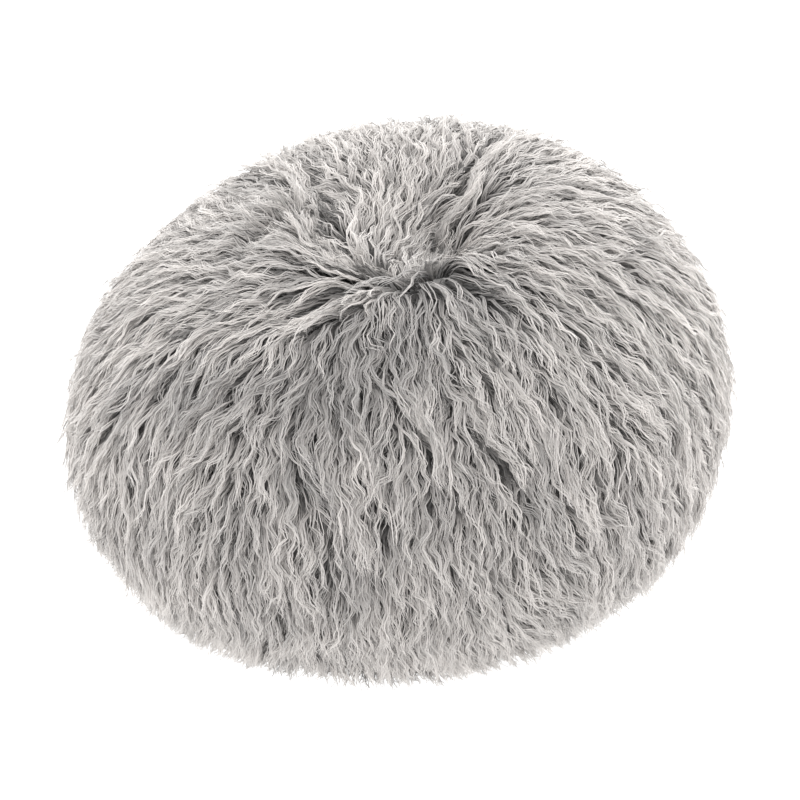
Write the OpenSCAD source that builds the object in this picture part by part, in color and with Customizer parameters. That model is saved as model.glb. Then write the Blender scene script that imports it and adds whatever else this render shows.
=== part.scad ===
// Round bean bag chair with a long-pile fur cover, a zipped inner liner and a loose foam filling.
// The bag stands on z = 0 with its front towards -Y. Its belly is centred on the Z axis.

/* [Bag shape] */
// Overall width across the fur
bag_w = 930; // [900:10:980]
// Height at which the bag is widest
belly_z = 240; // [225:5:260]
// Width of the flat underside, to the outer edge of the fur
base_w = 590; // [580:10:640]
// Height of the middle of the crown before the seat dimple is pressed in
crown_z = 610; // [590:5:630]
// Rise of the crown from the middle to the back
back_rise = 65; // [45:5:80]
// Fall of the crown from the middle to the front
front_drop = 20; // [0:5:40]
// Rise of the crown from the middle to the right
side_rise = 28; // [0:4:48]
// Sideways lean of the crown over the belly
lean = 62; // [0:2:70]
// Squareness of the shoulders: 2 is an ellipse
shoulder_power = 2.1; // [2:0.05:2.4]

/* [Seat dimple] */
// Place of the dimple to the right of the middle
dimple_x = 15; // [0:5:50]
// Place of the dimple in front of the middle
dimple_front = 125; // [90:5:140]
// Depth of the dimple
dimple_depth = 80; // [50:5:90]
// Spread of the dimple around its centre
dimple_spread = 90; // [80:5:120]

/* [Fur cover] */
// Thickness of the lying pile and its backing
pile_t = 28; // [24:1:34]
// Number of side panels
panel_count = 6; // [6:1:6]
// Width of the gap at each panel seam, in degrees
seam_gap = 0.12; // [0.08:0.02:0.2]
// Share of the crown's quarter arc that the side panels cover
panel_reach = 0.74; // [0.7:0.02:0.8]

/* [Base] */
// Thickness of the woven base cloth
cloth_t = 1.5; // [1.2:0.1:1.8]
// Width of the folded hem beside the zip
hem_w = 14; // [12:1:18]
// Radial width of the binding on the base seam
binding_w = 6; // [5:0.5:8]

/* [Inner liner] */
// Clear space between the cover and the liner
liner_gap = 3; // [3:0.5:5]
// Thickness of the liner cloth
liner_t = 1; // [0.8:0.1:1.2]
// Height of the liner's underside above the floor
liner_z = 11; // [11:0.5:13]

/* [Zips] */
// Length of the cover's zip chain
cover_chain = 440; // [400:10:460]
// Diameter of one coil row of the cover's zip
cover_coil_d = 2.6; // [2.4:0.1:2.8]
// Length of the liner's zip chain
liner_chain = 380; // [340:10:400]
// Diameter of one coil row of the liner's zip
liner_coil_d = 2; // [1.8:0.1:2.2]

/* [Hidden] */
$fn = 48;
belly_r = bag_w / 2;
base_r = base_w / 2;
panel_angle = 360 / panel_count;
// How far the lean moves the bag sideways at a height
function lean_x(z) = lean * (z - belly_z) / crown_z;
// The arc parameter runs 0 to 1 from the floor to the belly and 1 to 2 from the belly to the crown.
cap_start = 1 + panel_reach;
// Half of the crown seam's gap, in the arc parameter
crown_seam = 0.002;

// A layer is [inset from the outer fur, height of its underside].
hem_step = 4;
fur_outside = [0, 0];
fur_inside = [pile_t, hem_step];
liner_outside = [pile_t + liner_gap, liner_z];
liner_inside = [pile_t + liner_gap + liner_t, liner_z + liner_t];
fill_gap = 1.5;
fill_z = 17.5;
fill_outside = [pile_t + liner_gap + liner_t + fill_gap, fill_z];

// Grid of each sewn piece
panel_columns = 10;
panel_rows = 16;
cap_columns = panel_count * panel_columns;
cap_rings = 8;

// Base and zip levels
seam_clear = 0.9;
seam_r = base_r - pile_t;
cover_disc_r = seam_r - binding_w - 2 * seam_clear;
liner_disc_r = base_r - liner_inside[0] - seam_clear;
fold_layers = 3;
slot_half = 7;
chain_gap = 1;

// [chain length, coil diameter, tape thickness, tape width, cloth thickness, underside height]
cover_zip = [cover_chain, cover_coil_d, 0.8, 16, cloth_t, 0];
liner_zip = [liner_chain, liner_coil_d, 0.6, 12, liner_t * 0.8, liner_z];
function chain_length(zip) = zip[0];
function coil_d(zip) = zip[1];
function tape_t(zip) = zip[2];
function tape_w(zip) = zip[3];
function zip_cloth(zip) = zip[4];
function zip_x(zip) = lean_x(zip[5]);
function tape_z(zip) = zip[5] + fold_layers * zip_cloth(zip);
function chain_z(zip) = tape_z(zip) + tape_t(zip) / 2;
function coil_y(zip) = (chain_gap + coil_d(zip)) / 2;

// Slider proportions, in coil diameters of its zip
slider_length = 4.8;
slider_wall = 0.45;
slider_clear = 0.15;
flange_gap = 0.4;
bridge_height = 0.4;
stop_length = 1.6;

// Care label
label_size = [34, 52, 0.6];
label_at = [-110, -75];

// ---- The bag's surface ----

// Radius and height on the plain profile, before the crown leans and sinks
function profile(t, layer) = t < 1
    ? [base_r - layer[0] + (belly_r - base_r) * cos(90 * (1 - t)),
       belly_z - (belly_z - layer[1]) * sin(90 * (1 - t))]
    : [(belly_r - layer[0]) * pow(cos(90 * (t - 1)), 2 / shoulder_power),
       belly_z + (crown_z - layer[0] - belly_z) * pow(sin(90 * (t - 1)), 2 / shoulder_power)];

// How far the seat dimple lowers the crown at a place
function dimple(x, y) = dimple_depth
    * exp(-(pow(x - dimple_x, 2) + pow(y + dimple_front, 2)) / pow(dimple_spread, 2));

// How much higher the crown is at a place than at the middle: it rises to the back and to the right,
// and falls less to the front, with a smooth bend between the two slopes
tilt_bend = 0.1;
function crown_tilt(x, y) =
    let (s = y / belly_r)
    (back_rise - front_drop) / 2 * sqrt(s * s + tilt_bend * tilt_bend)
        + (back_rise + front_drop) / 2 * s
        + side_rise * x / belly_r;

// Share of the way from the belly up to the crown
function crown_share(z) = max(0, (z - belly_z) / (crown_z - belly_z));

// A point on a layer of the bag at an azimuth and an arc parameter
function bag_point(a, t, layer) =
    let (
        rz = profile(t, layer),
        x = rz[0] * cos(a),
        y = rz[0] * sin(a),
        share = crown_share(rz[1]),
        z = rz[1] + share * (crown_tilt(x, y) - dimple(x, y))
    )
    [x + lean_x(rz[1]), y, z];

// The two triangles of the grid cell whose corners are a, b, c and d
function cell(a, b, c, d) = [[a, b, c], [a, c, d]];

// A shell piece between two layers and two azimuths, from the floor up to the crown seam
module side_piece(number, outside, inside) {
    start = (number - 1) * panel_angle + seam_gap;
    sweep = panel_angle - 2 * seam_gap;
    stride = panel_columns + 1;
    under = stride * (panel_rows + 1);
    points = [
        for (layer = [outside, inside]) for (i = [0:panel_rows]) for (j = [0:panel_columns])
            bag_point(start + sweep * j / panel_columns, (cap_start - crown_seam) * i / panel_rows, layer)
    ];
    faces = [
        for (i = [0:panel_rows - 1]) for (j = [0:panel_columns - 1])
            let (p = i * stride + j)
            each concat(
                cell(p, p + stride, p + stride + 1, p + 1),
                cell(under + p, under + p + 1, under + p + stride + 1, under + p + stride)
            ),
        for (j = [0:panel_columns - 1])
            let (top = panel_rows * stride + j)
            each concat(
                cell(j, j + 1, under + j + 1, under + j),
                cell(top + 1, top, under + top, under + top + 1)
            ),
        for (i = [0:panel_rows - 1])
            let (left = i * stride, right = left + panel_columns)
            each concat(
                cell(left + stride, left, under + left, under + left + stride),
                cell(right, right + stride, under + right + stride, under + right)
            )
    ];
    polyhedron(points, faces, convexity = 6);
}

// The round crown piece between two layers
module crown_piece(outside, inside) {
    under = cap_rings * cap_columns + 1;
    first = cap_start + crown_seam;
    points = [
        for (layer = [outside, inside]) each concat(
            [
                for (i = [0:cap_rings - 1]) for (j = [0:cap_columns - 1])
                    bag_point(360 * j / cap_columns, first + (2 - first) * i / cap_rings, layer)
            ],
            [bag_point(0, 2, layer)]
        )
    ];
    centre = cap_rings * cap_columns;
    last_ring = (cap_rings - 1) * cap_columns;
    faces = [
        for (j = [0:cap_columns - 1])
            let (k = (j + 1) % cap_columns)
            each concat(
                [
                    for (i = [0:cap_rings - 2])
                        let (low = i * cap_columns, high = low + cap_columns)
                        each concat(
                            cell(low + j, high + j, high + k, low + k),
                            cell(under + low + j, under + low + k, under + high + k, under + high + j)
                        )
                ],
                [[last_ring + j, centre, last_ring + k]],
                [[under + last_ring + j, under + last_ring + k, under + centre]],
                cell(j, k, under + k, under + j)
            )
    ];
    polyhedron(points, faces, convexity = 6);
}

// The whole closed volume inside one layer, on the same grid as the panels and the crown piece
module filled_layer(layer) {
    rows = concat(
        [for (i = [0:panel_rows]) cap_start * i / panel_rows],
        [for (i = [1:cap_rings - 1]) cap_start + (2 - cap_start) * i / cap_rings]
    );
    top_row = (len(rows) - 1) * cap_columns;
    crown = len(rows) * cap_columns;
    foot = crown + 1;
    points = concat(
        [for (t = rows) for (j = [0:cap_columns - 1]) bag_point(360 * j / cap_columns, t, layer)],
        [bag_point(0, 2, layer), [lean_x(layer[1]), 0, layer[1]]]
    );
    faces = [
        for (j = [0:cap_columns - 1])
            let (k = (j + 1) % cap_columns)
            each concat(
                [
                    for (i = [0:len(rows) - 2])
                        let (low = i * cap_columns, high = low + cap_columns)
                        each cell(low + j, high + j, high + k, low + k)
                ],
                [[top_row + j, crown, top_row + k]],
                [[j, k, foot]]
            )
    ];
    polyhedron(points, faces, convexity = 6);
}

// ---- The flat base of the cover or the liner ----

// Half of a round base with its folded hem, open along the zip. side is -1 at the front, 1 at the back.
module base_half(zip, disc_r, side) {
    thickness = zip_cloth(zip);
    slot_l = chain_length(zip) + 8 * coil_d(zip);
    translate([zip_x(zip), 0, zip[5]])
        difference() {
            union() {
                cylinder(r = disc_r, h = thickness, $fn = 96);
                translate([-slot_l / 2, -slot_half - hem_w, 0])
                    cube([slot_l, 2 * (slot_half + hem_w), fold_layers * thickness]);
            }
            translate([-slot_l / 2, -slot_half, -1])
                cube([slot_l, 2 * slot_half, fold_layers * thickness + 2]);
            translate([-disc_r - 1, side > 0 ? -disc_r - 1 : -seam_clear / 2, -1])
                cube([2 * disc_r + 2, disc_r + 1 + seam_clear / 2, fold_layers * thickness + 2]);
        }
}

// ---- The zips, each along X over the middle of its base ----

module zip_tape(zip, side) {
    length = chain_length(zip) + 7 * coil_d(zip);
    near = coil_y(zip) + coil_d(zip) / 2 + seam_clear / 2;
    low_y = side > 0 ? near : -near - tape_w(zip);
    translate([zip_x(zip) - length / 2, low_y, tape_z(zip)])
        cube([length, tape_w(zip), tape_t(zip)]);
}

module zip_coil(zip, side) {
    translate([zip_x(zip) - chain_length(zip) / 2, side * coil_y(zip), chain_z(zip)])
        rotate([0, 90, 0])
            cylinder(d = coil_d(zip), h = chain_length(zip));
}

// Where the slider's middle is when the zip is closed, measured from the chain's middle
function closed_x(zip) = chain_length(zip) / 2 - (slider_length / 2 + 0.2) * coil_d(zip);

// A cast slider: two plates joined by a thin neck between the coils, with lips beside them and
// a low bridge underneath in place of a pull tab.
module zip_slider(zip) {
    d = coil_d(zip);
    wall = slider_wall * d;
    plate_low = d / 2 + slider_clear * d;
    lip_low = tape_t(zip) / 2 + slider_clear * d;
    half_w = coil_y(zip) + d / 2 + flange_gap * d + wall * 0.7;
    length = slider_length * d;
    neck_w = chain_gap * 0.5;
    translate([zip_x(zip) + closed_x(zip), 0, chain_z(zip)]) {
        for (up = [-1, 1]) {
            translate([0, 0, up > 0 ? plate_low : -plate_low - wall])
                slider_plate(length, 2 * half_w, wall);
            for (side = [-1, 1])
                translate([
                    -length * 0.5,
                    side > 0 ? half_w - wall * 0.7 : -half_w,
                    up > 0 ? lip_low : -plate_low
                ])
                    cube([length * 0.62, wall * 0.7, plate_low - lip_low]);
        }
        translate([length * 0.22, -neck_w / 2, -plate_low])
            cube([length * 0.2, neck_w, 2 * plate_low]);
        translate([0, 0, -plate_low - wall])
            slider_bridge(length, d);
    }
}

// One plate, straight at the closed end and rounded at the nose
module slider_plate(length, width, thickness) {
    nose = length * 0.3;
    linear_extrude(thickness)
        union() {
            translate([-length / 2, -width / 2])
                square([length - nose, width]);
            translate([length / 2 - nose, 0])
                intersection() {
                    circle(d = width, $fn = 64);
                    translate([0, -width / 2])
                        square([nose, width]);
                }
        }
}

// The low bridge that a pull tab would hang from
module slider_bridge(length, d) {
    width = d * 0.8;
    translate([-length * 0.25, -width / 2, -bridge_height * d])
        cube([length * 0.5, width, bridge_height * d]);
}

// A crimped stop on each tape, just past the closed slider
module zip_top_stops(zip) {
    d = coil_d(zip);
    for (side = [-1, 1])
        translate([
            zip_x(zip) + chain_length(zip) / 2 + 0.3,
            side > 0 ? coil_y(zip) - d / 2 : -coil_y(zip) - d / 2,
            chain_z(zip) - d / 2
        ])
            cube([stop_length * d, d, d]);
}

// One wide stop across both tapes at the open end
module zip_bottom_stop(zip) {
    d = coil_d(zip);
    half_w = coil_y(zip) + d / 2;
    translate([zip_x(zip) - chain_length(zip) / 2 - stop_length * d - 0.3, -half_w, chain_z(zip) - d / 2])
        cube([stop_length * d, 2 * half_w, d]);
}

// ---- The separate pieces ----

module fur_panel(number) { color("gainsboro") side_piece(number, fur_outside, fur_inside); }
module fur_top_cap() { color("gainsboro") crown_piece(fur_outside, fur_inside); }
module base_panel(side) { color("dimgray") base_half(cover_zip, cover_disc_r, side); }

module base_seam_binding() {
    low = 0.5;
    color("slategray")
        translate([lean_x(hem_step), 0, low])
            rotate_extrude($fn = 96)
                translate([seam_r - seam_clear - binding_w, 0])
                    square([binding_w, hem_step - low]);
}

module cover_zip_tape(side) { color("gray") zip_tape(cover_zip, side); }
module cover_zip_coil(side) { color("silver") zip_coil(cover_zip, side); }
module cover_zip_slider() { color("darkgray") zip_slider(cover_zip); }
module cover_zip_top_stops() { color("silver") zip_top_stops(cover_zip); }
module cover_zip_bottom_stop() { color("silver") zip_bottom_stop(cover_zip); }

module care_label() {
    color("white")
        translate([label_at[0], label_at[1], cloth_t])
            cube(label_size);
}

module liner_panel(number) { color("ivory") side_piece(number, liner_outside, liner_inside); }
module liner_top_cap() { color("ivory") crown_piece(liner_outside, liner_inside); }
module liner_base(side) { color("ivory") base_half(liner_zip, liner_disc_r, side); }
module liner_zip_tape(side) { color("linen") zip_tape(liner_zip, side); }
module liner_zip_coil(side) { color("white") zip_coil(liner_zip, side); }
module liner_zip_slider() { color("darkgray") zip_slider(liner_zip); }
module liner_zip_top_stops() { color("silver") zip_top_stops(liner_zip); }
module liner_zip_bottom_stop() { color("silver") zip_bottom_stop(liner_zip); }
module foam_fill() { color("wheat") filled_layer(fill_outside); }

for (number = [1:panel_count]) {
    fur_panel(number);
    liner_panel(number);
}
fur_top_cap();
base_panel(-1);  // base_panel_front
base_panel(1);  // base_panel_back
base_seam_binding();
cover_zip_tape(-1);  // cover_zip_tape_front
cover_zip_tape(1);  // cover_zip_tape_back
cover_zip_coil(-1);  // cover_zip_coil_front
cover_zip_coil(1);  // cover_zip_coil_back
cover_zip_slider();
cover_zip_top_stops();
cover_zip_bottom_stop();
care_label();
liner_top_cap();
liner_base(-1);  // liner_base_front
liner_base(1);  // liner_base_back
liner_zip_tape(-1);  // liner_zip_tape_front
liner_zip_tape(1);  // liner_zip_tape_back
liner_zip_coil(-1);  // liner_zip_coil_front
liner_zip_coil(1);  // liner_zip_coil_back
liner_zip_slider();
liner_zip_top_stops();
liner_zip_bottom_stop();
foam_fill();
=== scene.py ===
import math
from collections import namedtuple
from itertools import product

import bpy
import numpy as np
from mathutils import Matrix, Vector


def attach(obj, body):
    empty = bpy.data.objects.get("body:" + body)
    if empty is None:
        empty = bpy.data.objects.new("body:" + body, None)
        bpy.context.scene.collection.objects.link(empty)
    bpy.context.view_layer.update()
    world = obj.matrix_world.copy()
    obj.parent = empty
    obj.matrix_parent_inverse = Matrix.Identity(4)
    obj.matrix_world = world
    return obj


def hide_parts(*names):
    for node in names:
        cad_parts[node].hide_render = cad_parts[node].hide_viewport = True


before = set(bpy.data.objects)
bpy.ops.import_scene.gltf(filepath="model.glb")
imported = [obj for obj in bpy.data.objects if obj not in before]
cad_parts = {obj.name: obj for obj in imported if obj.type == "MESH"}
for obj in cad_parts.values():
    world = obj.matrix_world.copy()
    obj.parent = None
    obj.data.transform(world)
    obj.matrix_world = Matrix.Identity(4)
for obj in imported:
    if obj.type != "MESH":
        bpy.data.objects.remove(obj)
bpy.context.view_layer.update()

rng = np.random.default_rng(17)

# ---- Sizes, in metres, as in the design ----
BELLY_R = 0.465
BASE_R = 0.295
BELLY_Z = 0.240
CROWN_Z = 0.610
BACK_RISE = 0.065
FRONT_DROP = 0.020
SIDE_RISE = 0.028
TILT_BEND = 0.1
LEAN = 0.062
SHOULDER_POWER = 2.1
DIMPLE = (0.015, -0.125)
DIMPLE_DEPTH = 0.080
DIMPLE_SPREAD = 0.090
CAP_START = 1.74
CROWN_SEAM = 0.0003
PANELS = 6
SEAM_GAP = 0.04  # degrees

# Each layer's depth below the fur's outside, and the height of its underside.
PILE = 0.028
HEM_STEP = 0.004
LINER_INSET = 0.031
LINER_T = 0.001
LINER_Z = 0.011
FILL_INSET = 0.0335
FILL_Z = 0.0175

# The gap beside a seam, the base's outer edge, and the sizes of the binding, hems, slots and chains.
SEAM_CLEAR = 0.0009
SEAM_R = BASE_R - PILE
BINDING_W = 0.006
BINDING_LOW = 0.0005
HEM_W = 0.014
SLOT_HALF = 0.007
CHAIN_GAP = 0.001
# The care label's corner and its size.
LABEL_AT = (-0.110, -0.075, 0.0015)
LABEL_SIZE = (0.034, 0.052, 0.0006)

# A zip and the round base that it closes: the chain's length, one coil row's diameter and its pitch, the
# tape's thickness and width, the base cloth's thickness, and the base's underside and radius.
Zip = namedtuple("Zip", "name chain coil_d pitch tape_t tape_w cloth_t low disc_r")
COVER_ZIP = Zip(
    "cover_zip", chain=0.440, coil_d=0.0026, pitch=0.0015, tape_t=0.0008, tape_w=0.016,
    cloth_t=0.0015, low=0.0, disc_r=SEAM_R - BINDING_W - 2 * SEAM_CLEAR)
LINER_ZIP = Zip(
    "liner_zip", chain=0.380, coil_d=0.0020, pitch=0.00125, tape_t=0.0006, tape_w=0.012,
    cloth_t=0.0008, low=LINER_Z, disc_r=BASE_R - LINER_INSET - LINER_T - SEAM_CLEAR)

CENTRE = np.array((0.0, 0.0, BELLY_Z))
UP = np.array((0.0, 0.0, 1.0))

# The front lip's ridge, and the creases beside the back lobe's face.
# Each is a line of places on the crown, seen from above.
RIDGE = (
    (0.100, -0.130), (0.075, -0.190), (0.035, -0.245), (0.000, -0.272), (-0.050, -0.283),
    (-0.108, -0.292), (-0.180, -0.276), (-0.255, -0.230), (-0.325, -0.187),
)
LEFT_CREASE = (
    (0.03, -0.235), (-0.03, -0.215), (-0.075, -0.19), (-0.105, -0.15),
    (-0.10, -0.08), (-0.13, 0.04), (-0.188, 0.17), (-0.24, 0.25),
)
RIGHT_CREASE = (
    (0.055, -0.12), (0.058, -0.08), (0.085, -0.055),
    (0.092, -0.03), (0.134, 0.03), (0.19, 0.12),
)
POCKET = ((-0.105, -0.075), (-0.135, -0.08), (-0.175, -0.10), (-0.21, -0.13))
# How deep each line presses in, and its half width. The ridge stands out instead.
CREASES = (
    (LEFT_CREASE, 0.026, 0.022),
    (RIGHT_CREASE, 0.016, 0.018),
    (POCKET, 0.018, 0.016),
    (RIDGE, -0.016, 0.026),
)
# The pile parts along a line close to the ridge. In front of it the pile falls forward and spreads from
# the whorl. Behind it the pile spreads from a place of its own on each lobe.
PARTING = (
    (0.045, -0.215), (0.005, -0.260), (-0.050, -0.282), (-0.108, -0.295),
    (-0.180, -0.280), (-0.255, -0.235), (-0.325, -0.190),
)
WHORL = (0.045, -0.210)
BACK_SOURCE = (0.01, -0.33)
LEFT_SOURCE = (0.0, -0.23)
RIGHT_SOURCE = (0.03, -0.12)
# Low on the right of the front the pile is swept sideways: the middle of that place, its reach and turn.
SWEEP_AT = (0.17, -0.38, 0.13)
SWEEP_REACH = 0.14
SWEEP_TURN = 0.50
# How strongly the pile wanders over long distances, on the sides and on the crown.
WANDER = (0.34, 0.16)
# How strongly it curls over short distances, in general and where it is curliest.
CURL = (0.36, 0.62)
# High on the middle of the front the pile is curliest, and painted shade darkens its locks there.
CURLS_AT = (-0.03, -0.38, 0.40)
CURLS_REACH = 0.17
# The pile is pressed down above the first height. Below the second it is laid out along the floor,
# and it stays above the third.
PRESSED_Z = 0.630
FLOOR_BAND = 0.002
FLOOR_CLEAR = 0.0014


# ---- Small helpers ----

def unit(v):
    return v / np.maximum(np.linalg.norm(v, axis=-1, keepdims=True), 1e-12)


def dot(a, b):
    return (a * b).sum(-1, keepdims=True)


def stack(*parts):
    """Matching parts side by side on a new last axis."""
    return np.stack(np.broadcast_arrays(*parts), -1)


def mix(a, b, share):
    return a * (1 - share) + b * share


def smoothstep(low, high, x):
    t = np.clip((x - low) / (high - low), 0, 1)
    return t * t * (3 - 2 * t)


class Waves:
    """Smooth noise: a sum of sine waves in random directions."""

    def __init__(self, scale, count=9):
        directions = unit(rng.normal(size=(count, 3)))
        self.k = directions * (math.tau / scale) * rng.uniform(0.7, 1.4, (count, 1))
        self.phase = rng.uniform(0, math.tau, count)

    def at(self, p):
        return np.sin(p @ self.k.T + self.phase).mean(-1) * 2.2


def one_each(count, low, high):
    """A random number for each of many strands, to be used at every step along it."""
    return rng.uniform(low, high, (count, 1, 1))


# ---- The bag's surface ----

def profile(t, inset, underside):
    """Radius and height on a plain layer. t is 0 at the underside, 1 at the belly and 2 at the crown."""
    low = (1 - np.clip(t, 0, 1)) * math.pi / 2
    high = (np.clip(t, 1, 2) - 1) * math.pi / 2
    power = 2 / SHOULDER_POWER
    low_r = BASE_R - inset + (BELLY_R - BASE_R) * np.cos(low)
    low_z = BELLY_Z - (BELLY_Z - underside) * np.sin(low)
    high_r = (BELLY_R - inset) * np.cos(high).clip(0) ** power
    high_z = BELLY_Z + (CROWN_Z - inset - BELLY_Z) * np.sin(high) ** power
    return np.where(t < 1, low_r, high_r), np.where(t < 1, low_z, high_z)


def layer_shape(inset, underside):
    """A layer seen from the middle of the belly: polar angles, and the distance at each."""
    foot_r = np.linspace(0, BASE_R - inset, 200)[:-1]
    side_r, side_z = profile(np.linspace(0, 2, 400), inset, underside)
    r = np.concatenate([foot_r, side_r])
    z = np.concatenate([np.full_like(foot_r, underside), side_z]) - BELLY_Z
    return np.arctan2(z, r), np.hypot(r, z)


def crown_change(x, y):
    """How far the crown stands over or under the plain profile."""
    s = y / BELLY_R
    fold = (BACK_RISE - FRONT_DROP) / 2 * np.sqrt(s * s + TILT_BEND ** 2)
    tilt = fold + (BACK_RISE + FRONT_DROP) / 2 * s + SIDE_RISE * x / BELLY_R
    away = (x - DIMPLE[0]) ** 2 + (y - DIMPLE[1]) ** 2
    return tilt - DIMPLE_DEPTH * np.exp(-away / DIMPLE_SPREAD ** 2)


def lean_x(z):
    return LEAN * (z - BELLY_Z) / CROWN_Z


def bend(p):
    """Leans and dents the plain bag."""
    x, y, z = p[..., 0], p[..., 1], p[..., 2]
    share = (z - BELLY_Z).clip(0) / (CROWN_Z - BELLY_Z)
    return stack(x + lean_x(z), y, z + share * crown_change(x, y))


def unbend(p):
    """The inverse of bend, up to the small shift that x brings to the crown's change."""
    x, y, z = p[..., 0], p[..., 1], p[..., 2]
    plain_x = x - lean_x(z)
    stretch = np.where(z > BELLY_Z, 1 + crown_change(plain_x, y) / (CROWN_Z - BELLY_Z), 1.0)
    plain_z = BELLY_Z + (z - BELLY_Z) / stretch
    return stack(x - lean_x(plain_z), y, plain_z)


def nearest_on_line(p, points):
    """The nearest place on a line seen from above, its distance, and the share of the way along."""
    xy = p[..., :2]
    best = np.full(xy.shape[:-1], 9.0)
    along = np.zeros(xy.shape[:-1])
    place = np.zeros(xy.shape)
    for i, (a, b) in enumerate(zip(points, points[1:])):
        a, b = np.array(a), np.array(b)
        t = (((xy - a) @ (b - a)) / ((b - a) @ (b - a))).clip(0, 1)
        on = a + t[..., None] * (b - a)
        d = np.linalg.norm(xy - on, axis=-1)
        near = d < best
        along = np.where(near, (i + t) / (len(points) - 1), along)
        place = np.where(near[..., None], on, place)
        best = np.minimum(d, best)
    return place, best, along


def crease(p):
    """Presses the creases into the crown."""
    inward = unit(CENTRE - p)
    depth = np.zeros(p.shape[:-1])
    for points, deep, half in CREASES:
        _, away, along = nearest_on_line(p, points)
        fade = smoothstep(0, 0.12, along) * smoothstep(1, 0.6, along)
        depth = depth + deep * fade * np.exp(-(away / half) ** 2)
    depth = depth * smoothstep(BELLY_Z, BELLY_Z + 0.1, p[..., 2])
    return p + inward * depth[..., None]


def surface(dirs, shape):
    """The place on a layer in each direction from the middle of the belly."""
    polar = np.arcsin(dirs[..., 2].clip(-1, 1))
    rho = np.interp(polar, *shape)
    return crease(bend(CENTRE + dirs * rho[..., None]))


def bag_point(azimuth, t, inset, underside):
    """The place on a layer at an azimuth and an arc parameter."""
    r, z = profile(t, inset, underside)
    return crease(bend(stack(r * np.cos(azimuth), r * np.sin(azimuth), z)))


def directions_of(p):
    return unit(unbend(p) - CENTRE)


def normals(dirs, shape, step=0.004):
    """The surface's outward unit normals, and its area per unit of solid angle."""
    steep = np.abs(dirs[..., 2:]) > 0.9
    axis = np.where(steep, (1.0, 0.0, 0.0), (0.0, 0.0, 1.0))
    u = unit(np.cross(dirs, axis))
    v = np.cross(dirs, u)
    here = surface(dirs, shape)
    one = surface(unit(dirs + step * u), shape) - here
    two = surface(unit(dirs + step * v), shape) - here
    across = np.cross(one, two)
    area = np.linalg.norm(across, axis=-1) / step ** 2
    n = unit(across)
    return n * np.where(dot(n, dirs) < 0, -1, 1), area


BACKING = layer_shape(PILE, HEM_STEP)
FOOT_ANGLE = math.atan2(HEM_STEP - BELLY_Z, BASE_R - PILE)


# ---- Which way the pile lies ----

swirl = Waves(0.16)
crimp = Waves(0.044)


def level(xy):
    """Horizontal unit vectors."""
    return unit(np.concatenate([xy, np.zeros(xy.shape[:-1] + (1,))], -1))


def around(p, middle, reach):
    """1 at a place, fading to 0 round it."""
    return np.exp(-(np.linalg.norm(p - np.array(middle), axis=-1) / reach) ** 2)


def between(y, line):
    """A line's x at each y."""
    xs, ys = np.array(line).T
    return np.interp(y, ys, xs)


def ahead_of_parting(p):
    """How far a place lies in front of the parting."""
    parting_x, parting_y = np.array(PARTING[::-1]).T
    return np.interp(p[..., 0], parting_x, parting_y) - p[..., 1]


def flow(p, n, stray):
    """The direction in which the pile lies at a place on the bag, and how firmly it lies.

    stray is the angle by which each lock turns away from its neighbours.
    """
    xy = p[..., :2]
    x, y, z = p[..., 0], p[..., 1], p[..., 2]
    parting_place, from_parting, _ = nearest_on_line(p, PARTING)
    ahead = ahead_of_parting(p)
    before = smoothstep(-0.012, 0.012, ahead)[..., None]
    on_left = smoothstep(0.03, -0.03, x - between(y, LEFT_CREASE))[..., None]
    on_right = smoothstep(-0.03, 0.03, x - between(y, RIGHT_CREASE))[..., None]
    source = mix(np.array(BACK_SOURCE), np.array(LEFT_SOURCE), on_left)
    source = mix(source, np.array(RIGHT_SOURCE), on_right)
    along_lip = mix(1.5, 0.4, smoothstep(0.03, 0.09, ahead))[..., None]
    front = unit(level(xy - parting_place) + along_lip * level(xy - np.array(WHORL)))
    spread = mix(level(xy - source), front, before)
    on_crown = smoothstep(BELLY_Z + 0.14, BELLY_Z + 0.26, z)[..., None]
    lie = 0.8 * spread - UP * mix(1.0, 0.1, on_crown * (1 - before))
    lie = lie - dot(lie, n) * n
    firm = np.linalg.norm(lie, axis=-1, keepdims=True).clip(0, 0.6) / 0.6
    from_whorl = np.linalg.norm(xy - np.array(WHORL), axis=-1)
    firm = firm * mix(0.6, 1.0, smoothstep(0.0, 0.05, from_whorl))[..., None]
    firm = firm * mix(0.85, 1.0, smoothstep(0.0, 0.03, from_parting))[..., None]
    lie = unit(lie)
    side = np.cross(n, lie)
    swept = around(p, SWEEP_AT, SWEEP_REACH)
    wander = mix(*WANDER, on_crown[..., 0])
    curl = mix(*CURL, around(p, CURLS_AT, CURLS_REACH))
    turn = wander * swirl.at(p) + curl * crimp.at(p) + SWEEP_TURN * swept + stray
    turn = turn[..., None]
    return unit(lie * np.cos(turn) + side * np.sin(turn)), firm


# ---- Growing the pile ----

# How far a lock sinks under its own weight towards its tip, and more where it hangs from an overhang.
DROOP = 0.25
OVERHANG_DROOP = 0.45
# How far a lock stays from the backing, at its root and at its tip.
BACKING_CLEAR = (0.004, 0.014)


def even_directions(count, lowest):
    """Directions spread evenly over the ball above a lowest polar angle."""
    i = np.arange(count) + 0.5
    z = 1 - (1 - math.sin(lowest)) * i / count
    a = i * math.pi * (3 - math.sqrt(5))
    r = np.sqrt(1 - z * z)
    dirs = stack(r * np.cos(a), r * np.sin(a), z)
    return unit(dirs + rng.normal(size=dirs.shape) * 0.6 / math.sqrt(count))


def scatter(per_m2):
    """Roots spread over the fur's backing at about this density: too many at first, then thinned."""
    lowest = FOOT_ANGLE + 0.003
    tries = int(per_m2 * 6)
    dirs = even_directions(tries, lowest)
    dirs = dirs[dirs[:, 2] > math.sin(lowest)]
    area = normals(dirs, BACKING)[1]
    each = area * math.tau * (1 - math.sin(lowest)) / tries
    return dirs[rng.random(len(dirs)) < each * per_m2]


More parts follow.
